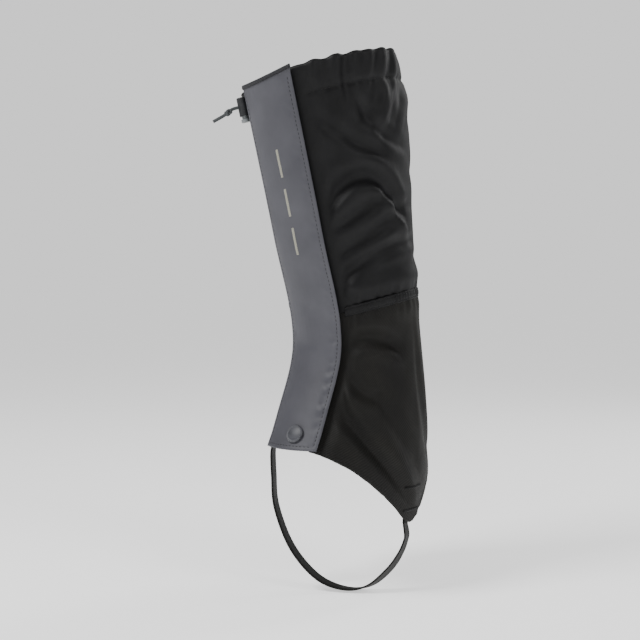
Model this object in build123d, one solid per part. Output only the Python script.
from build123d import *
import math
import os

# One knee-high gaiter: a front-closing fabric leg cover with an instep strap, in millimetres.
# +Z is up the leg, -Y is towards the toes and +X is the side whose flap edge is sewn.
# The origin lies on the leg's axis, level with the ground side of the lower side point.

# ---- Leg form: half widths, then height, front line, back line and half width of each station ----
boot_half_width = 66.0
ankle_half_width = 58.5
calf_half_width = 64.5
form_stations = [
    (-40.0, -104.0, 66.0, boot_half_width - 8.0),   # below the hem
    (0.0, -101.0, 70.0, boot_half_width - 3.5),     # lower side point
    (60.0, -91.0, 69.0, boot_half_width),           # instep
    (96.0, -74.0, 66.0, boot_half_width - 1.5),     # front of the boot
    (165.0, -51.0, 56.0, ankle_half_width),         # ankle
    (255.0, -75.5, 48.0, ankle_half_width + 1.0),   # lower calf
    (360.0, -107.0, 38.0, calf_half_width),         # calf
    (440.0, -131.0, 17.0, calf_half_width + 3.5),   # above the rim
]
front_taper = 0.10                 # how much narrower the leg is towards its front
tilt_side = 0.20                   # rise of the rim and seams per mm towards +X
tilt_back = 0.175                  # rise of the rim and seams per mm towards +Y

# ---- Levels of the seams, on planes with that tilt ----
rim_level = 408.0
seam_level = 193.0
hem_floor_level = -14.0            # the lower panel is lofted down to here, then trimmed
front_drop = 12.0                  # how far a tilted plane lies under its level at the front

# ---- Fabric ----
cloth = 1.2                        # shell fabric, sewn double
ply_gap = 0.25                     # between sewn layers
section_spacing = 14.0             # between the cross-sections that carry the form
round_points = 41                  # points round each of those sections
flap_lift = 3.2                    # from the shell fabric to the flap's lining
loop_gap = 0.55                    # from the shell fabric to the loop strip
slit_far_x = 12.0                  # front edge of the far side, under the flap
slit_near_x = 18.0                 # front edge of the near side, under the flap

# ---- Top hem and drawcord ----
hem_depth = 27.0
cord_diameter = 2.8
channel_room = 0.5                 # round the cord inside the hem
cord_fit = 0.3                     # round the cord in the eyelet and the lock
exit_angle = -34.0                 # where the cord leaves the hem, from the front
exit_drop = 12.0                   # how steeply the straight stretch falls, in degrees
cord_sag = 4.0                     # how far the cord lies under the middle of its channel
straight_run = 18.9                # from the exit through the lock, before the cord hangs
eyelet_rim = 1.6
eyelet_plate = 0.7

# ---- Seam band and elastic ----
band_height = 9.0
elastic_width = 6.0
elastic_thickness = 1.0
elastic_from, elastic_to = 62.0, 298.0

# ---- Front flap ----
flap_width = 57.0
flap_bottom = 76.0
lining_inset = 4.0
lining_thickness = 0.9
flap_edge_tape = 6.0               # depth of the tape over the flap's top edge
tape_thickness = 1.0
strip_width = 17.0                 # hook and loop strips
strip_far_x = -26.0
strip_bottom = 122.0
strip_top_gap = 10.0
strip_thickness = 1.1
facing_width = 10.0
facing_bottom = 118.0

# ---- Snap fastener ----
snap_x = 5.5
snap_height = 86.5
cap_radius = 7.9
cap_height = 2.4
snap_flange_radius = 5.5
snap_flange = 0.8
stud_radius = 2.4
stud_height = 1.4
release_room = 1.6                 # sideways room that lets the flap lift off the stud
shank_radius = 1.5
shank_fit = 0.15
socket_wall = 2.0

# ---- Lace hook ----
hook_x = -15.0
hook_height = 93.0
hook_width = 7.0
hook_plate = 1.0
hook_length = 15.0
hook_gap = 4.0
hook_return = 8.0
rivet_head_radius = 3.2

# ---- Lower hem ----
hem_facing_width = 8.0
near_tip_y, near_tip_z = -5.5, 8.5
near_tip_width = 17.0
far_hem_z = 80.0
heel_hem_z = 54.0

# ---- Instep strap ----
strap_width = 16.0
strap_thickness = 1.5
strap_near_angle = 103.0
strap_far_angle = -50.0
strap_far_z = 70.0
strap_near_z = 0.0
anchor_gap = 0.6
anchor_length = 36.0
bartack_length, bartack_height, bartack_thickness = 10.0, 2.4, 0.5
bartack_levels = (12.0, 32.0)      # above the anchor's lower end

# ---- Cord lock ----
lock_distance = 5.9                # from the shell to the lock's middle, along the cord
lock_radius = 4.5
lock_wall = 1.3
lock_travel = 2.4
plunger_gap = 0.3
button_radius = 4.0
button_height = 2.5
spring_length = 4.0
spring_wire = 0.5
spring_turns = 3.0
barrel_below = 8.0
cap_wall = 1.2
knot_radius = 2.8

os.makedirs("parts", exist_ok=True)
nodes = {}


def add(name, shape):
    """Keep a sub-part, and write it under its own name."""
    nodes[name] = shape
    export_step(shape, f"parts/{name}.step")


# ---------------------------------------------------------------- leg form

def station_value(z, column):
    """Smooth value of one station column at a height."""
    heights = [s[0] for s in form_stations]
    values = [s[column] for s in form_stations]
    last = len(heights) - 1
    i = min(max(sum(h <= z for h in heights) - 1, 0), last - 1)
    beyond = max(z - heights[last], 0.0)

    def slope(k):
        low, high = max(k - 1, 0), min(k + 1, last)
        return (values[high] - values[low]) / (heights[high] - heights[low])

    span = heights[i + 1] - heights[i]
    t = (z - beyond - heights[i]) / span
    start = (2 * t**3 - 3 * t**2 + 1) * values[i] + (t**3 - 2 * t**2 + t) * span * slope(i)
    end = (3 * t**2 - 2 * t**3) * values[i + 1] + (t**3 - t**2) * span * slope(i + 1)
    return start + end + beyond * slope(last)


def at_height(angle, z, offset=0.0):
    """Point of the leg form at an angle from the front and a height."""
    front, back, half_width = (station_value(z, k) for k in (1, 2, 3))
    turn = math.radians(angle)
    x = (half_width + offset) * math.sin(turn) * (1 - front_taper * math.cos(turn))
    y = (front + back) / 2 - ((back - front) / 2 + offset) * math.cos(turn)
    return Vector(x, y, z)


def at_level(angle, level, offset=0.0):
    """Point of the leg form at an angle, on a tilted plane."""
    z = level
    for _ in range(14):
        point = at_height(angle, z, offset)
        z = level + tilt_side * point.X + tilt_back * point.Y
    return Vector(point.X, point.Y, z)


def front_angle(x, level, offset=0.0):
    """Angle at which the front of the form, on a tilted plane, has that x."""
    low, high = -80.0, 80.0
    for _ in range(40):
        middle = (low + high) / 2
        if at_level(middle, level, offset).X < x:
            low = middle
        else:
            high = middle
    return (low + high) / 2


def outward(angle, z):
    """Unit normal of the form, pointing out."""
    along = at_height(angle + 0.5, z) - at_height(angle - 0.5, z)
    up = at_height(angle, z + 1) - at_height(angle, z - 1)
    return along.cross(up).normalized()


# ---------------------------------------------------------------- fabric layers

def layer_face(start, end, level, inner, outer, points):
    """Cross-section of a fabric layer between two offsets, on one tilted plane."""
    steps = [i / (points - 1) for i in range(points)]
    out = [at_level(start + (end - start) * t, level, outer) for t in steps]
    back = [at_level(end + (start - end) * t, level, inner) for t in steps]
    edges = [
        Edge.make_spline(out, parameters=steps),
        Edge.make_line(out[-1], back[0]),
        Edge.make_spline(back, parameters=steps),
        Edge.make_line(back[-1], out[0]),
    ]
    return Face(Wire(edges))


def layer(start, end, low, high, inner, outer, points=29, spacing=section_spacing):
    """Fabric layer between two angles, two levels and two offsets."""
    count = max(2, math.ceil((high - low) / spacing) + 1)
    levels = [low + (high - low) * i / (count - 1) for i in range(count)]
    faces = [layer_face(start, end, level, inner, outer, points) for level in levels]
    return Solid(loft(faces).solid().wrapped)


def front_strip(x_from, x_to, low, high, inner, outer, points=7, spacing=section_spacing):
    """Fabric strip down the front between two straight edges."""
    count = max(2, math.ceil((high - low) / spacing) + 1)
    faces = []
    for i in range(count):
        level = low + (high - low) * i / (count - 1)
        start, end = front_angle(x_from, level, outer), front_angle(x_to, level, outer)
        faces.append(layer_face(start, end, level, inner, outer, points))
    return Solid(loft(faces).solid().wrapped)


def shell_layer(low, high, inner, outer):
    """Layer all round the leg, open at the front slit."""
    count = max(2, math.ceil((high - low) / section_spacing) + 1)
    faces = []
    for i in range(count):
        level = low + (high - low) * i / (count - 1)
        start = front_angle(slit_near_x, level)
        end = 360 + front_angle(slit_far_x, level)
        faces.append(layer_face(start, end, level, inner, outer, round_points))
    return Solid(loft(faces).solid().wrapped)


def local_frame(angle, z):
    """Plane on the form: its z points out and its y points up."""
    normal = outward(angle, z)
    across = Vector(0, 0, 1).cross(normal).normalized()
    return Plane(origin=at_height(angle, z), x_dir=across, z_dir=normal)


def disc(place, radius, low, high):
    """Round solid on a local plane, between two heights above it."""
    return place * Pos(0, 0, (low + high) / 2) * Cylinder(radius, high - low)


def angle_at_x(x, z):
    """Angle at which the front of the form has that x, at a height."""
    low, high = -80.0, 80.0
    for _ in range(40):
        middle = (low + high) / 2
        if at_height(middle, z).X < x:
            low = middle
        else:
            high = middle
    return (low + high) / 2


# ---------------------------------------------------------------- lower hem

def hem_cutter(rise, side):
    """Solid under the lower hem of one side, raised by some height."""
    front_y, back_y, reach, under = -140.0, 110.0, 90.0, -60.0
    tip_back = near_tip_y + near_tip_width
    if side > 0:
        line = [
            (front_y, flap_bottom + 6.0),
            (-82.0, flap_bottom),
            (-58.0, 58.0),
            (-32.0, 35.5),
            (near_tip_y, near_tip_z + 2.5),
            (near_tip_y + near_tip_width / 2, near_tip_z),
            (tip_back, near_tip_z + 4.5),
            (31.0, 36.0),
            (55.0, heel_hem_z - 2.0),
            (back_y, heel_hem_z + 2.0),
        ]
    else:
        line = [
            (front_y, far_hem_z),
            (-30.0, far_hem_z),
            (45.0, heel_hem_z + 2.0),
            (back_y, heel_hem_z + 2.0),
        ]
    outline = [(y, z + rise) for y, z in line] + [(back_y, under), (front_y, under)]
    face = Face(Wire.make_polygon([(0, y, z) for y, z in outline]))
    return extrude(face, amount=reach * side, dir=(1, 0, 0))


def trimmed(shape, rise=0.0):
    """Shape with everything under the lower hem taken off."""
    return shape - hem_cutter(rise, 1) - hem_cutter(rise, -1)


# ---------------------------------------------------------------- places worked out once

snap_place = local_frame(angle_at_x(snap_x, snap_height), snap_height)
rivet_place = local_frame(angle_at_x(hook_x, hook_height), hook_height)
socket_radius = stud_radius + release_room + socket_wall
socket_top = snap_flange + stud_height + 1.2

hem_inner = -(cloth + ply_gap + cord_diameter + 2 * channel_room)
cord_offset = -(cloth + ply_gap + channel_room + cord_diameter / 2)
cord_level = rim_level - hem_depth / 2 - cord_sag
cord_exit = at_level(exit_angle, cord_level, cord_offset)
exit_normal = outward(exit_angle, cord_exit.Z)
exit_flat = Vector(exit_normal.X, exit_normal.Y, 0).normalized()
drop = math.radians(exit_drop)
cord_direction = exit_flat * math.cos(drop) - Vector(0, 0, math.sin(drop))
cord_plane = Plane(origin=cord_exit, z_dir=cord_direction)


def upper_panel():
    shape = shell_layer(seam_level, rim_level, -cloth, 0.0)
    return shape - disc(cord_plane, cord_diameter / 2 + cord_fit + eyelet_rim / 2 + shank_fit, 0, 9)


def lower_panel():
    shape = trimmed(shell_layer(hem_floor_level, seam_level, -cloth, 0.0))
    shape -= disc(snap_place, shank_radius + shank_fit, -4, 4)
    shape -= disc(snap_place, snap_flange_radius + shank_fit, ply_gap / 2, 4)
    shape -= disc(rivet_place, shank_radius + shank_fit, -4, 4)
    return shape - disc(rivet_place, rivet_head_radius + shank_fit, ply_gap / 2, 4)


def top_hem():
    """Folded-in hem: its inner wall and its two edges, open at the slit."""
    walls = shell_layer(rim_level - hem_depth, rim_level, hem_inner - cloth, -cloth - ply_gap)
    low, high = rim_level - hem_depth + cloth, rim_level - cloth
    slit_clear = (slit_near_x - slit_far_x) / 4
    faces = []
    for level in (low, (low + high) / 2, high):
        start = front_angle(slit_near_x - slit_clear, level)
        end = 360 + front_angle(slit_far_x + slit_clear, level)
        faces.append(layer_face(start, end, level, hem_inner, -cloth / 2, round_points))
    return walls - Solid(loft(faces).solid().wrapped)


def lower_hem_facing():
    """Turned edge of the lower hem, sewn inside."""
    outer = -cloth - ply_gap
    facing = trimmed(shell_layer(hem_floor_level, 118.0, outer - cloth, outer), 0.4)
    kept = facing & (hem_cutter(hem_facing_width, 1) + hem_cutter(hem_facing_width, -1))
    kept -= disc(snap_place, snap_flange_radius + 0.6, -8, 4)
    kept -= disc(rivet_place, hook_length, -8, 4)
    return max(kept.solids(), key=lambda s: s.volume)


# ---------------------------------------------------------------- cord

def corner_radii(points):
    """Largest arcs that the runs leave room for."""
    radii = []
    for before, corner, after in zip(points, points[1:], points[2:]):
        turn = math.radians((corner - before).get_angle(after - corner))
        shorter = min((corner - before).length, (after - corner).length)
        radii.append(0.45 * shorter / math.tan(turn / 2))
    return radii


def cord_tube(name, points):
    """Round cord along straight runs joined by tangent arcs."""
    radii = corner_radii(points)
    path = FilletPolyline(*points, radius=radii)
    wire = path.wire()
    section = Plane(origin=points[0], z_dir=points[1] - points[0]) * Circle(cord_diameter / 2)
    tube = sweep(section, path=wire)
    expected = math.pi * cord_diameter**2 / 4 * wire.length
    print(name, "length", round(wire.length, 1), "volume ratio", round(tube.volume / expected, 3))
    print(name, "arc radii", [round(r, 1) for r in radii])
    return tube


def drawcord():
    """Cord round the leg inside the hem, from its sewn end to the exit."""
    turns = 31
    start = 30.0
    sweep_angle = 360 + exit_angle - start
    points = [
        at_level(start + sweep_angle * i / (turns - 1), cord_level, cord_offset)
        for i in range(turns)
    ]
    return cord_tube("drawcord", points)


lock_middle = cord_exit + cord_direction * (-cord_offset + lock_distance)
lock_side = cord_exit + cord_direction * straight_run
tail_points = [
    cord_exit,
    cord_exit + cord_direction * straight_run / 2 + Vector(0, 0, 0.15),
    lock_side,
    lock_side + exit_flat * 3.4 - Vector(0, 0, 3.4),
    lock_side + exit_flat * 9.0 - Vector(0, 0, 7.4),
    lock_side + exit_flat * 16.0 - Vector(0, 0, 11.4),
]


def knot():
    """Overhand knot near the end of the tail, as one rounded lump."""
    middle = tail_points[3]
    along = (tail_points[4] - tail_points[3]).normalized()
    ball = Sphere(knot_radius)
    stretched = Plane(origin=middle, z_dir=along) * scale(ball, by=(1.15, 1.15, 1.25))
    return stretched


def cord_eyelet():
    """Round eyelet through the hem, round the cord."""
    hole = cord_diameter / 2 + cord_fit
    reach = -cord_offset
    seat = reach + 0.3
    body = disc(cord_plane, hole + eyelet_rim / 2, reach - cloth - 0.5, seat)
    plate = disc(cord_plane, hole + eyelet_rim + 0.6, seat, seat + eyelet_plate)
    return body + plate - disc(cord_plane, hole, -3, 12)


def cord_end_stitching():
    """Bartack that holds the sewn end of the cord in the hem."""
    return layer(22.0, 29.0, cord_level - 2.4, cord_level + 2.4,
                 cord_offset - cord_diameter / 2, cord_offset + cord_diameter / 2, points=5)


# ---------------------------------------------------------------- bands and strips

def mid_band():
    """Shirred band over the seam, from the flap's sewn edge round to its free edge."""
    low = seam_level - band_height / 2
    start = front_angle(flap_width / 2 + 3, seam_level)
    end = 360 + front_angle(-flap_width / 2 - 2, seam_level)
    return layer(start, end, low, low + band_height, ply_gap, ply_gap + cloth, points=33, spacing=5.0)


def mid_elastic():
    low = seam_level - elastic_width / 2
    outer = -cloth - ply_gap
    return layer(elastic_from, elastic_to, low, low + elastic_width,
                 outer - elastic_thickness, outer, points=23, spacing=4.0)


def loop_strip():
    return front_strip(strip_far_x, strip_far_x + strip_width, strip_bottom + front_drop,
                       rim_level - strip_top_gap, loop_gap, loop_gap + strip_thickness)


def hook_strip():
    outer = flap_lift - ply_gap
    return front_strip(strip_far_x, strip_far_x + strip_width, strip_bottom + front_drop,
                       rim_level - strip_top_gap, outer - strip_thickness, outer)


def front_facing(x_from, x_to):
    """Turned front edge of one side, sewn inside."""
    outer = -cloth - ply_gap
    top = rim_level - hem_depth - 1.0
    return front_strip(x_from, x_to, facing_bottom + front_drop, top, outer - cloth, outer)


# ---------------------------------------------------------------- flap

def cut_level(shape, height):
    """Shape with everything under a height taken off."""
    block = Pos(0, 0, height - 60) * Box(300, 400, 120)
    return shape - block


def flap_layer(inset, inner, outer, top_gap):
    half = flap_width / 2 - inset
    strip = front_strip(-half, half, flap_bottom - front_drop, rim_level - top_gap, inner, outer)
    return cut_level(strip, flap_bottom + inset)


def flap_shell():
    inner = flap_lift + lining_thickness + ply_gap
    shape = flap_layer(0.0, inner, inner + cloth, 0.0)
    shape -= disc(snap_place, socket_radius + shank_fit, 0, socket_top + ply_gap)
    return shape - disc(snap_place, shank_radius + shank_fit, 0, 12)


def flap_lining():
    shape = flap_layer(lining_inset, flap_lift, flap_lift + lining_thickness, 0.5)
    return shape - disc(snap_place, socket_radius + 0.4, 0, 12)


def flap_edge_binding():
    """Tape folded over the flap's top edge."""
    half = flap_width / 2
    inner = flap_lift - ply_gap
    outer = flap_lift + lining_thickness + cloth + 2 * ply_gap
    low = rim_level - flap_edge_tape
    tape = front_strip(-half, half, low, rim_level + ply_gap + tape_thickness,
                       inner - tape_thickness, outer + tape_thickness, spacing=4.0)
    room = front_strip(-half - 3, half + 3, low - 3, rim_level + ply_gap, inner, outer, spacing=4.0)
    return tape - room


def snap_cap():
    """Domed cap with a rolled rim, and its shank."""
    base = flap_lift + lining_thickness + ply_gap + cloth + ply_gap
    shank_low = socket_top - 0.6
    profile = [
        (0, shank_low), (shank_radius, shank_low), (shank_radius, base),
        (cap_radius - 0.8, base), (cap_radius, base + 0.7),
        (cap_radius - 0.7, base + 1.5), (cap_radius - 1.7, base + 1.4),
    ]
    dome_top = base + cap_height
    dome_edge, edge_height = profile[-1]
    rise = dome_top - edge_height
    dome_radius = (dome_edge**2 + rise**2) / (2 * rise)
    halfway = dome_edge / 2
    sag = dome_radius - math.sqrt(dome_radius**2 - halfway**2)
    edges = [Edge.make_line((*p, 0), (*q, 0)) for p, q in zip(profile, profile[1:])]
    edges.append(Edge.make_three_point_arc(
        (dome_edge, edge_height, 0), (halfway, dome_top - sag, 0), (0, dome_top, 0)))
    edges.append(Edge.make_line((0, dome_top, 0), (0, shank_low, 0)))
    cap = revolve(Face(Wire(edges)), axis=Axis.Y)
    return snap_place * (Rot(90, 0, 0) * cap)


def snap_socket():
    """Ring that clips over the stud, closed above it."""
    low = snap_flange + 0.6
    roof = snap_flange + stud_height + 0.5
    ring = disc(snap_place, socket_radius, low, socket_top)
    ring -= disc(snap_place, socket_radius - socket_wall, low - 1, roof)
    return ring - disc(snap_place, shank_radius + shank_fit, roof - 1, socket_top + 1)


def snap_stud():
    low = ply_gap
    stud = disc(snap_place, snap_flange_radius, low, low + snap_flange)
    stud += disc(snap_place, stud_radius - 0.4, low + snap_flange, low + snap_flange + stud_height)
    bead = disc(snap_place, stud_radius, low + snap_flange + stud_height - 0.7,
                low + snap_flange + stud_height)
    return stud + bead - disc(snap_place, shank_radius, low - 1, low + snap_flange)


def snap_post():
    """Backing post of the stud, through the fabric."""
    flange_top = -cloth - 0.4
    post = disc(snap_place, snap_flange_radius, flange_top - snap_flange, flange_top)
    return post + disc(snap_place, shank_radius, flange_top - snap_flange, ply_gap + snap_flange)


# ---------------------------------------------------------------- lace hook

def lace_hook():
    """Flat hook inside the front, open upwards, that holds the front down on the laces."""
    top_z = -cloth - 0.4
    back = top_z - hook_plate
    bend = hook_gap / 2 + hook_plate
    low = -hook_length + 4.0
    plate = Pos(0, (4.0 + low) / 2, (top_z + back) / 2) * Box(hook_width, hook_length, hook_plate)
    turn_centre = back - hook_gap / 2
    turn = Pos(0, low, turn_centre) * Rot(0, 90, 0) * (
        Cylinder(bend, hook_width) - Cylinder(hook_gap / 2, hook_width + 2))
    turn -= Pos(0, low + bend, turn_centre) * Box(hook_width + 2, 2 * bend, 4 * bend)
    lip = Pos(0, low + hook_return / 2, back - hook_gap - hook_plate / 2) * Box(
        hook_width, hook_return, hook_plate)
    shape = plate + turn + lip
    shape -= Pos(0, 0, (top_z + back) / 2) * Cylinder(shank_radius, 3 * hook_plate)
    return rivet_place * shape


def lace_hook_rivet():
    inner = -cloth - 0.4 - hook_plate
    rivet = disc(rivet_place, rivet_head_radius, ply_gap, ply_gap + 0.8)
    rivet += disc(rivet_place, shank_radius, inner - 0.7, ply_gap + 0.4)
    return rivet + disc(rivet_place, rivet_head_radius - 0.6, inner - 0.7, inner)


# ---------------------------------------------------------------- instep strap

strap_inset = 2 * (cloth + ply_gap) + strap_thickness / 2
near_end = at_height(strap_near_angle, strap_near_z, -strap_inset)
far_end = at_height(strap_far_angle, strap_far_z, -strap_inset)
strap_flat = Vector(far_end.X - near_end.X, far_end.Y - near_end.Y, 0)
strap_span = strap_flat.length
strap_run = strap_flat.normalized()
strap_side = Vector(0, 0, 1).cross(strap_run)


def strap_point(along, z):
    return Vector(near_end.X, near_end.Y, 0) + strap_run * along + Vector(0, 0, z)


def rounded_end(place):
    """What a round end takes off a square one, above its pivot."""
    reach = strap_width
    frame = Plane(origin=place, x_dir=strap_side, z_dir=strap_run)
    above = Pos(0, 0, 0) * Box(2 * reach, 2 * reach, 4 * strap_thickness)
    round_part = Cylinder(strap_width / 2, 6 * strap_thickness)
    below = Pos(0, (1 if frame.y_dir.Z < 0 else -1) * 2 * reach, 0) * Box(
        4 * reach, 4 * reach, 6 * strap_thickness)
    return frame * (above - round_part - below)


def instep_strap():
    """Flat strap hanging under the boot, with rounded ends that turn beside the anchors."""
    half = strap_thickness / 2
    round_top = strap_width / 2
    line = Edge.make_spline([
        strap_point(0, strap_near_z + round_top),
        strap_point(0, strap_near_z),
        strap_point(0.8, strap_near_z - 6),
        strap_point(5.5, -18),
        strap_point(15.5, -33),
        strap_point(33, -48.0),
        strap_point(54, -51.5),
        strap_point(79, -42.5),
        strap_point(102, -17),
        strap_point(116, 18),
        strap_point(strap_span - 0.9, 46),
        strap_point(strap_span, strap_far_z - 5),
        strap_point(strap_span, strap_far_z + round_top),
    ])
    steps = [i / 40 for i in range(41)]
    outer, inner = [], []
    for t in steps:
        place, run = line.position_at(t), line.tangent_at(t)
        sideways = run.cross(strap_side).normalized()
        outer.append(place + sideways * half)
        inner.append(place - sideways * half)
    edges = [
        Edge.make_spline(outer),
        Edge.make_line(outer[-1], inner[-1]),
        Edge.make_spline(inner[::-1]),
        Edge.make_line(inner[0], outer[0]),
    ]
    ribbon = extrude(Face(Wire(edges)), amount=strap_width / 2, dir=strap_side, both=True)
    print("strap length", round(line.length, 1))
    return ribbon - rounded_end(near_end) - rounded_end(far_end)


def strap_anchor(place, angle):
    """Sewn end of the strap, on the inside of the shell."""
    low = place.Z + strap_width / 2 + anchor_gap
    outer = -strap_inset + strap_thickness / 2
    inner = outer - strap_thickness
    step = 0.5
    reach = (at_height(angle + step, low) - at_height(angle - step, low)).length / (2 * step)
    half = strap_width / 2 / reach
    count = 4
    faces = []
    for i in range(count):
        z = low + anchor_length * i / (count - 1)
        sides = [angle - half + 2 * half * k / 4 for k in range(5)]
        out = [at_height(a, z, outer) for a in sides]
        back = [at_height(a, z, inner) for a in reversed(sides)]
        faces.append(Face(Wire([
            Edge.make_spline(out), Edge.make_line(out[-1], back[0]),
            Edge.make_spline(back), Edge.make_line(back[-1], out[0]),
        ])))
    return Solid(loft(faces).solid().wrapped)


def strap_bartacks():
    """Dense stitching bars on the outside of the shell, over both sewn strap ends."""
    bars = []
    for place, angle in ((near_end, strap_near_angle), (far_end, strap_far_angle)):
        base = place.Z + strap_width / 2 + anchor_gap
        for level in bartack_levels:
            frame = local_frame(angle, base + level)
            lift = ply_gap + 0.35 + bartack_thickness / 2
            bars.append(frame * Pos(0, 0, lift) * Box(bartack_length, bartack_height, bartack_thickness))
    return Compound(children=bars)


# ---------------------------------------------------------------- cord lock

lock_up = (Vector(0, 0, 1) - cord_direction * cord_direction.Z).normalized()
lock_plane = Plane(origin=lock_middle, x_dir=cord_direction, z_dir=lock_up)
bore = cord_diameter / 2 + cord_fit
plunger_radius = lock_radius - lock_wall - plunger_gap
slot_low = -bore - lock_travel
plunger_top = bore + 1.0
barrel_top = plunger_top + spring_length


def cross_bore(reach):
    """Hole for the cord, across the lock."""
    return Rot(0, 90, 0) * Cylinder(bore, reach)


def barrel_part(radius, low, high):
    return Pos(0, 0, (low + high) / 2) * Cylinder(radius, high - low)


def cord_lock_body():
    shape = barrel_part(lock_radius, -barrel_below, barrel_top + cap_wall)
    shape = fillet(shape.edges().group_by(Axis.Z)[-1], 0.9)
    shape -= barrel_part(lock_radius - lock_wall, -barrel_below - 1, barrel_top)
    shape -= cross_bore(4 * lock_radius)
    return lock_plane * shape


def cord_lock_button():
    """Plunger with a long slot for the cord, and the button under it."""
    button_top = -barrel_below - lock_travel - plunger_gap
    shape = barrel_part(plunger_radius, button_top, plunger_top)
    shape += barrel_part(button_radius, button_top - button_height, button_top)
    slot = Pos(0, 0, (slot_low + bore) / 2) * Box(4 * lock_radius, 2 * bore, lock_travel + 2 * bore)
    return lock_plane * (shape - slot)


def cord_lock_spring():
    radius = plunger_radius - spring_wire
    rise = spring_length - spring_wire - 0.2
    coil = Helix(pitch=rise / spring_turns, height=rise, radius=radius)
    section = Plane(origin=coil @ 0, z_dir=coil % 0) * Circle(spring_wire / 2)
    spring = sweep(section, path=coil, is_frenet=True)
    return lock_plane * Pos(0, 0, plunger_top + spring_wire / 2 + 0.1) * spring


add("upper_panel", upper_panel())
add("lower_panel", lower_panel())
add("top_hem", top_hem())
add("lower_hem_facing", lower_hem_facing())
add("mid_band", mid_band())
add("mid_elastic", mid_elastic())
add("front_facing_far", front_facing(slit_far_x - facing_width, slit_far_x - 0.5))
add("front_facing_near", front_facing(slit_near_x + 0.5, slit_near_x + facing_width))
add("loop_strip", loop_strip())
add("drawcord", drawcord())
add("cord_end_stitching", cord_end_stitching())
add("cord_eyelet", cord_eyelet())
add("drawcord_tail", cord_tube("drawcord_tail", tail_points))
add("drawcord_knot", knot())
add("snap_stud", snap_stud())
add("snap_post", snap_post())
add("lace_hook", lace_hook())
add("lace_hook_rivet", lace_hook_rivet())
add("strap_anchor_near", strap_anchor(near_end, strap_near_angle))
add("strap_anchor_far", strap_anchor(far_end, strap_far_angle))
add("strap_bartacks", strap_bartacks())
add("flap_shell", flap_shell())
add("flap_lining", flap_lining())
add("flap_edge_binding", flap_edge_binding())
add("hook_strip", hook_strip())
add("snap_cap", snap_cap())
add("snap_socket", snap_socket())
add("instep_strap", instep_strap())
add("cord_lock_body", cord_lock_body())
add("cord_lock_spring", cord_lock_spring())
add("cord_lock_button", cord_lock_button())
